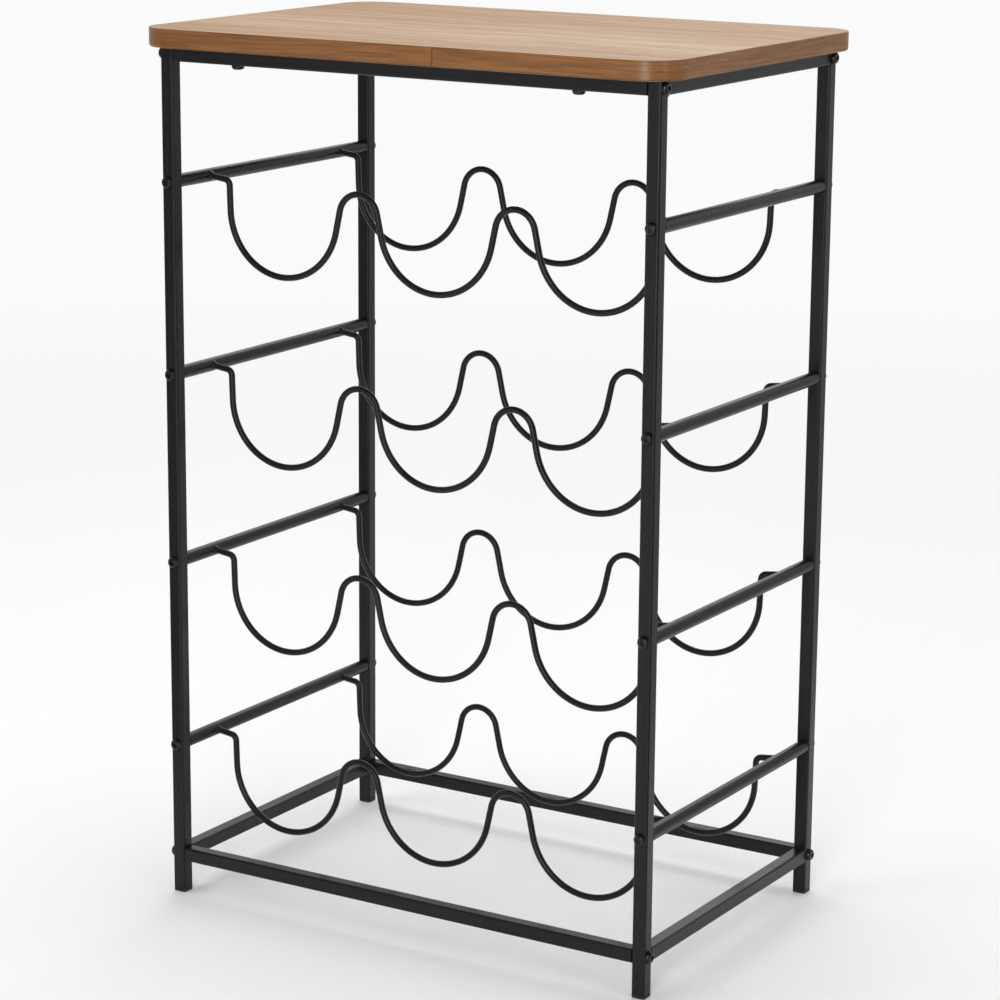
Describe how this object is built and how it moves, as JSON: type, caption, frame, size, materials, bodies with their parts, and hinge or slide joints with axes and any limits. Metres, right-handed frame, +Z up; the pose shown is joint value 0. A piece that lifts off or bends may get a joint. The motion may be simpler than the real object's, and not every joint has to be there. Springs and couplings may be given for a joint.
{
  "type": "wine rack",
  "caption": "Free-standing square-tube wine rack with wave-wire bottle tiers bolted between its legs and a wooden top that serves as a small table.",
  "frame": {"origin": "on the floor, under the centre of the wooden top", "axes": "+X along the front towards the right leg, +Y towards the back, +Z up"},
  "size_m": [0.412, 0.28, 0.623],
  "materials": {
    "frame_paint": "satin black powder coat with a fine orange-peel texture",
    "bolt_steel": "black-coated steel, slightly glossier than the frame",
    "cap_plastic": "matt moulded black",
    "oak_board": "satin oak-effect surface with straight grain along the front",
    "oak_edge": "satin oak-effect edge band"
  },
  "bodies": {
    "root": {"tabletop_board": "oak_board", "tabletop_edge_band": "oak_edge", "front_left_leg": "frame_paint", "front_left_foot_cap": "cap_plastic", "front_right_leg": "frame_paint", "front_right_foot_cap": "cap_plastic", "back_left_leg": "frame_paint", "back_left_foot_cap": "cap_plastic", "back_right_leg": "frame_paint", "back_right_foot_cap": "cap_plastic", "left_top_rail": "frame_paint", "left_bottom_rail": "frame_paint", "right_top_rail": "frame_paint", "right_bottom_rail": "frame_paint", "front_top_rail": "frame_paint", "front_bottom_rail": "frame_paint", "back_top_rail": "frame_paint", "back_bottom_rail": "frame_paint", "tier_1_left_rail": "frame_paint", "tier_1_right_rail": "frame_paint", "tier_1_front_wire": "frame_paint", "tier_1_back_wire": "frame_paint", "tier_2_left_rail": "frame_paint", "tier_2_right_rail": "frame_paint", "tier_2_front_wire": "frame_paint", "tier_2_back_wire": "frame_paint", "tier_3_left_rail": "frame_paint", "tier_3_right_rail": "frame_paint", "tier_3_front_wire": "frame_paint", "tier_3_back_wire": "frame_paint", "tier_4_left_rail": "frame_paint", "tier_4_right_rail": "frame_paint", "tier_4_front_wire": "frame_paint", "tier_4_back_wire": "frame_paint", "tier_1_front_left_bolt": "bolt_steel", "tier_2_front_left_bolt": "bolt_steel", "tier_3_front_left_bolt": "bolt_steel", "tier_4_front_left_bolt": "bolt_steel", "bottom_front_left_bolt": "bolt_steel", "top_front_left_bolt": "bolt_steel", "tier_1_front_right_bolt": "bolt_steel", "tier_2_front_right_bolt": "bolt_steel", "tier_3_front_right_bolt": "bolt_steel", "tier_4_front_right_bolt": "bolt_steel", "bottom_front_right_bolt": "bolt_steel", "top_front_right_bolt": "bolt_steel", "tier_1_back_left_bolt": "bolt_steel", "tier_2_back_left_bolt": "bolt_steel", "tier_3_back_left_bolt": "bolt_steel", "tier_4_back_left_bolt": "bolt_steel", "bottom_back_left_bolt": "bolt_steel", "top_back_left_bolt": "bolt_steel", "tier_1_back_right_bolt": "bolt_steel", "tier_2_back_right_bolt": "bolt_steel", "tier_3_back_right_bolt": "bolt_steel", "tier_4_back_right_bolt": "bolt_steel", "bottom_back_right_bolt": "bolt_steel", "top_back_right_bolt": "bolt_steel"}
  },
  "joints": []
}
